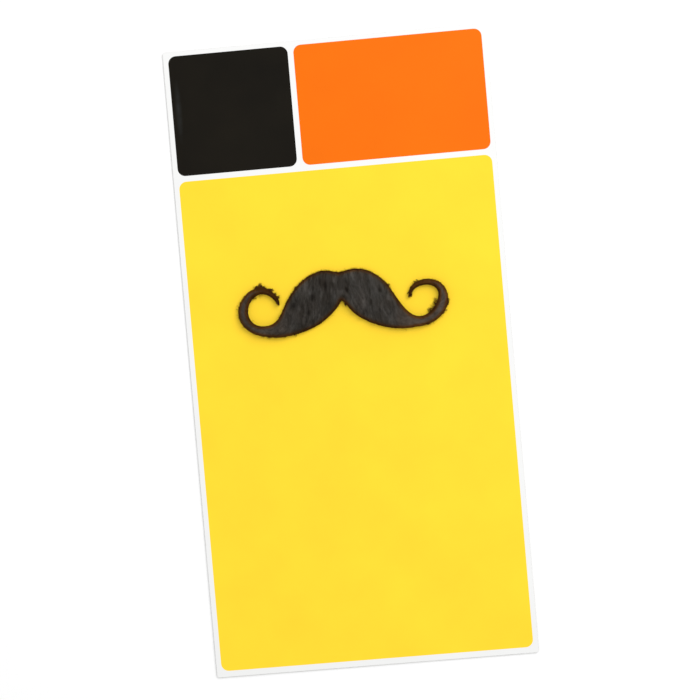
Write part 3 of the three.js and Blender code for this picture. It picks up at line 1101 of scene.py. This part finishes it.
# %% Lay the fuzz
EDGE_BAND = 0.5 * MM
FUZZ_HAIRS = 4000
FUZZ_LENGTH = 0.35 * MM
FUZZ_LENGTHS = (0.4, 1.3)
FUZZ_SHORTER_ON_CURLS = 0.4
FUZZ_AGAINST_NAP = 0.6
FUZZ_OUTWARD = 2.5
FUZZ_TURN = 0.6
FUZZ_LIFT = 0.2 * MM
LOOSE_WIDTHS = (0.6, 1.1)
LOOSE_WANDER = 0.12
LOOSE_TONE = 0.42
LOOSE_TONES = 0.12

near_edge = np.exp(-((edge_depth / EDGE_BAND) ** 2))


def lay_loose(name, rng, place, length, turn, outward, lift, towards=None, gathered=None):
    """Hairs that stick out of the cut edge, drawn by a share to the paths they gather to."""
    x, y = place
    count = len(x)
    xs, ys = comb(x, y, length, turn, outward, scattered(rng, 0, LOOSE_WANDER, count))
    if towards:
        pull = gathered[:, None] * STATIONS
        xs, ys = xs + pull * (towards[0] - xs), ys + pull * (towards[1] - ys)
    zs = lie_height(xs, ys) + lift * rng.random(count)[:, None] * STATIONS
    width = HAIR_WIDTH * ranging(rng, LOOSE_WIDTHS, count)
    tone = scattered(rng, LOOSE_TONE, LOOSE_TONES, count)
    rooted = sampled(past_edge, x, y) < 0
    return lay_hairs(name, *(part[rooted] for part in (xs, ys, zs, width, tone)))


def against_nap(x, y):
    """1 where the nap runs straight away from the cut edge, and -1 where it runs straight to it."""
    along_x = sampled(nap_x, x, y) * sampled(out_x, x, y)
    return -(along_x + sampled(nap_y, x, y) * sampled(out_y, x, y))


def lay_fuzz():
    """The short ends all round the cut edge."""
    rng = np.random.default_rng(31)
    place = roots(rng, FUZZ_HAIRS, near_edge)
    length = FUZZ_LENGTH * (1 - FUZZ_SHORTER_ON_CURLS * sampled(curl_share, *place))
    length *= 1 + FUZZ_AGAINST_NAP * against_nap(*place)
    length *= ranging(rng, FUZZ_LENGTHS, FUZZ_HAIRS)
    turn = scattered(rng, 0, FUZZ_TURN, FUZZ_HAIRS)
    return lay_loose("edge_fuzz", rng, place, length, turn, FUZZ_OUTWARD, FUZZ_LIFT)


fuzz = lay_fuzz()

# %% [markdown]
# ### The hairs that hang over the cut edge
# Seen from low down, the outer hairs bend over the cut edge of the ground and hide most of it.
# Combing them as the others would carry them out past the edge, so each one follows a quarter of an
# arc instead: a little outwards, then straight down, and swept a little along the nap.

# %% Lay the hanging hairs
HANGING_HAIRS = 5200
HANGING_BAND = 0.15 * MM
HANGING_REACH = 0.20 * MM
HANGING_REACHES = (0.4, 1.0)
HANGING_SWEEP = 0.45 * MM
HANGING_INSET = 0.04 * MM
HANGING_DROP = 0.9 * MM
HANGING_DROPS = (0.5, 1.0)
HANGING_TONE = 0.36
HANGING_TONES = 0.10
LOWEST_HAIR = 0.06 * MM


def hanging_plan(rng, x, y):
    """The hairs' paths in plan: outwards and along the nap, but held just inside the edge."""
    bend = np.sin(STATIONS * math.pi / 2)
    out = HANGING_REACH * ranging(rng, HANGING_REACHES, HANGING_HAIRS)[:, None] * bend
    sweep = HANGING_SWEEP * rng.random(HANGING_HAIRS)[:, None] * STATIONS
    xs = x[:, None] + out * sampled(out_x, x, y)[:, None] + sweep * sampled(nap_x, x, y)[:, None]
    ys = y[:, None] + out * sampled(out_y, x, y)[:, None] + sweep * sampled(nap_y, x, y)[:, None]
    excess = np.maximum(sampled(past_edge, xs, ys) + HANGING_INSET, 0)
    return xs - excess * sampled(out_x, xs, ys), ys - excess * sampled(out_y, xs, ys)


def lay_hanging():
    """The hairs that bend down over the cut edge."""
    rng = np.random.default_rng(37)
    x, y = roots(rng, HANGING_HAIRS, np.exp(-((edge_depth / HANGING_BAND) ** 2)))
    xs, ys = hanging_plan(rng, x, y)
    lowest, highest = fur_low.z + CLOTH_THICKNESS / 2, sampled(surface, x, y)
    start = lowest + (highest - lowest) * rng.random(HANGING_HAIRS)
    bend = 1 - np.cos(STATIONS * math.pi / 2)
    drop = HANGING_DROP * ranging(rng, HANGING_DROPS, HANGING_HAIRS)[:, None] * bend
    zs = np.maximum(start[:, None] - drop, card_high.z + LOWEST_HAIR)
    width = HAIR_WIDTH * ranging(rng, LOOSE_WIDTHS, HANGING_HAIRS)
    tone = scattered(rng, HANGING_TONE, HANGING_TONES, HANGING_HAIRS)
    return lay_hairs("hanging_hairs", xs, ys, zs, width, tone)


hanging = lay_hanging()

# %% [markdown]
# ### Tufts where the edge has frayed
# In places the cut edge has frayed, and its hairs have gathered in small pointed tufts: along the
# top of the left curl, on both sides of the right one, at the two tips, in the notch, and here and
# there on the body. They could be scattered at random, but the photograph shows where they are, and
# they give the outline its character. Each tuft is a group of loose hairs that are drawn to one
# path. Inside the right curl they hardly gather, and the fray is a soft one.

# %% Lay the tufts
# Places, spots and reaches are in millimetres, and a fan of 0 keeps the tufts side by side
FRAYED = [
    # The top of the left curl, from its peak on to the right
    dict(at=[(-30.7, 26.1)], spot=0.4, tufts=5, reach=1.8, fan=0.4),
    dict(at=[(-31.0, 26.0), (-29.4, 26.2), (-28.2, 25.9)], spot=0.6, tufts=26, reach=1.1, fan=0.5),
    dict(at=[(-27.0, 25.3)], spot=0.8, tufts=8, reach=0.9, fan=0.5),
    dict(at=[(-25.9, 24.6)], spot=0.5, tufts=7, reach=1.4, fan=0.3),
    dict(at=[(-24.6, 23.0), (-24.2, 21.6)], spot=0.5, tufts=9, reach=1.1, fan=0.3),
    # The left tip, and the inside of the left curl
    dict(at=[(-24.1, 19.1)], spot=0.4, tufts=4, reach=0.6, fan=0.2),
    dict(at=[(-32.5, 22.3)], spot=0.5, tufts=6, reach=1.2, fan=0.4),
    # The right tip, and above it
    dict(at=[(22.7, 18.5), (22.8, 19.4)], spot=0.35, tufts=14, reach=1.1, fan=0.05),
    dict(at=[(25.2, 23.0)], spot=0.5, tufts=3, reach=0.9, fan=0.3),
    # The inside, the outside and the foot of the right curl
    dict(
        at=[(31.3, 14.9), (30.6, 13.6), (29.2, 12.2)], spot=0.8, tufts=16, reach=1.6, fan=0.5,
        gathered=0.2,
    ),
    dict(at=[(36.0, 14.6), (35.4, 12.6), (34.2, 10.9)], spot=0.9, tufts=22, reach=0.8, fan=0.4),
    dict(at=[(28.2, 7.6)], spot=0.5, tufts=5, reach=0.7, fan=0.5),
    # The notch, the two shoulders, and the foot of the left wing
    dict(at=[(-1.5, 17.4), (-0.8, 17.1)], spot=0.35, tufts=12, reach=0.8, fan=0.1),
    dict(at=[(-17.2, 24.6)], spot=0.4, tufts=4, reach=0.9, fan=0.4),
    dict(at=[(15.0, 22.6)], spot=0.5, tufts=6, reach=0.9, fan=0.4),
    dict(at=[(-25.7, 7.6), (-28.0, 7.9), (-18.9, 7.8)], spot=0.5, tufts=10, reach=0.7, fan=0.5),
]
TUFT_HAIRS = 14
TUFT_ROOT = 0.30 * MM
TUFT_GATHERED = 0.85
TUFT_REACHES = (0.45, 1.35)
TUFT_HAIR_LENGTHS = (0.7, 1.2)
TUFT_HAIR_TURN = 0.15
TUFT_OUTWARD = 0.8
TUFT_OUTWARD_BY_FAN = 4.0
TUFT_LIFT = 0.5 * MM


def tuft_roots(rng):
    """Every tuft's place at the edge, how far it reaches, its fan, and how its hairs gather."""
    found = []
    for frayed in FRAYED:
        here = np.zeros_like(surface)
        for x, y in frayed["at"]:
            away = np.hypot(grid_x[None, :] - x * MM, grid_y[:, None] - y * MM)
            here += np.exp(-((away / (frayed["spot"] * MM)) ** 2))
        x, y = roots(rng, frayed["tufts"], near_edge * here)
        reach = frayed["reach"] * MM * ranging(rng, TUFT_REACHES, len(x))
        even = np.ones(len(x))
        gathered = frayed.get("gathered", TUFT_GATHERED)
        found.append([x, y, reach, frayed["fan"] * even, gathered * even])
    return np.concatenate(found, axis=1)


def lay_tufts():
    """The pointed tufts at the frayed places."""
    rng = np.random.default_rng(41)
    tuft_x, tuft_y, reach, fan, gathered = tuft_roots(rng)
    turn = fan * rng.standard_normal(len(tuft_x))
    outward = TUFT_OUTWARD + TUFT_OUTWARD_BY_FAN * fan * rng.random(len(tuft_x))
    tuft = np.repeat(np.arange(len(tuft_x)), TUFT_HAIRS)
    count = len(tuft)
    x = scattered(rng, tuft_x[tuft], TUFT_ROOT, count)
    y = scattered(rng, tuft_y[tuft], TUFT_ROOT, count)
    length = reach[tuft] * ranging(rng, TUFT_HAIR_LENGTHS, count)
    towards = comb(tuft_x[tuft], tuft_y[tuft], reach[tuft], turn[tuft], outward[tuft])
    own_turn = scattered(rng, turn[tuft], TUFT_HAIR_TURN, count)
    return lay_loose(
        "frayed_tufts", rng, (x, y), length, own_turn, outward[tuft], TUFT_LIFT, towards,
        gathered[tuft],
    )


tufts = lay_tufts()

# %% [markdown]
# ### Stray hairs
# A few longer single hairs have worked loose and stand out of the edge, most of them on the curls.
# They are laid as the fuzz is, but longer, fewer and lifted more.

# %% Lay the stray hairs
STRAY_HAIRS = 90
STRAY_LENGTH = 1.3 * MM
STRAY_LENGTHS = (0.4, 1.3)
STRAY_TURN = 0.7
STRAY_OUTWARD = 1.5
STRAY_LIFT = 0.7 * MM
STRAY_SHARE_ON_BODY = 0.4


def lay_strays():
    """The longer single hairs that have worked loose."""
    rng = np.random.default_rng(43)
    length = STRAY_LENGTH * ranging(rng, STRAY_LENGTHS, STRAY_HAIRS)
    turn = scattered(rng, 0, STRAY_TURN, STRAY_HAIRS)
    place = roots(rng, STRAY_HAIRS, near_edge * (STRAY_SHARE_ON_BODY + curl_share))
    return lay_loose("stray_hairs", rng, place, length, turn, STRAY_OUTWARD, STRAY_LIFT)


strays = lay_strays()

# %% [markdown]
# ## Table and light
# The card lies on a plain white table under a broad soft light from the upper right, with the rest
# of the room as bright as the table. Several lamps could do that, but one large square light and an
# even white world give the same soft, short shadows. The table is wide enough to have no edge in
# any view.

# %% Make the table and the lights
TABLE_WHITE = (0.92, 0.92, 0.92)
TABLE_CLOUDS = 0.995
TABLE_HALF_WIDTH = 8.0
TABLE_BELOW_CARD = 0.02 * MM
WINDOW_PLACE = (0.47, 0.47, 0.6)
WINDOW_WIDTH = 0.6
WINDOW_WATTS = 4.5
ROOM_BRIGHTNESS = 0.86


def make_table():
    """A white table top, a hair's breadth below the card."""
    bm = bmesh.new()
    bmesh.ops.create_grid(bm, x_segments=1, y_segments=1, size=TABLE_HALF_WIDTH)
    bmesh.ops.translate(bm, verts=bm.verts, vec=(0, 0, -TABLE_BELOW_CARD))
    sockets = {"Roughness": 0.9, "Specular IOR Level": 0.1}
    material, tree, shader = new_material("white_table", sockets)
    stops = [(0.0, shade(TABLE_WHITE, TABLE_CLOUDS)), (1.0, TABLE_WHITE)]
    tree.links.new(ramp(tree, grain(tree, scale=3), stops), shader.inputs["Base Color"])
    table = object_from(bm, "table", [material])
    return table


def make_window():
    """A square of soft light that faces the card."""
    light = bpy.data.lights.new("window", "AREA")
    light.shape = "SQUARE"
    light.size = WINDOW_WIDTH
    light.energy = WINDOW_WATTS
    window = bpy.data.objects.new("window", light)
    window.location = WINDOW_PLACE
    window.rotation_mode = "QUATERNION"
    window.rotation_quaternion = (-Vector(WINDOW_PLACE)).to_track_quat("-Z", "Y")
    scene.collection.objects.link(window)
    return window


def make_room():
    """Even white light from all round."""
    world = bpy.data.worlds.new("room")
    world.use_nodes = True
    background = world.node_tree.nodes["Background"]
    background.inputs["Color"].default_value = (1.0, 1.0, 1.0, 1)
    background.inputs["Strength"].default_value = ROOM_BRIGHTNESS
    return world


table = make_table()
window = make_window()
scene.world = make_room()
print("table and light:", table.name, window.name, scene.world.name)
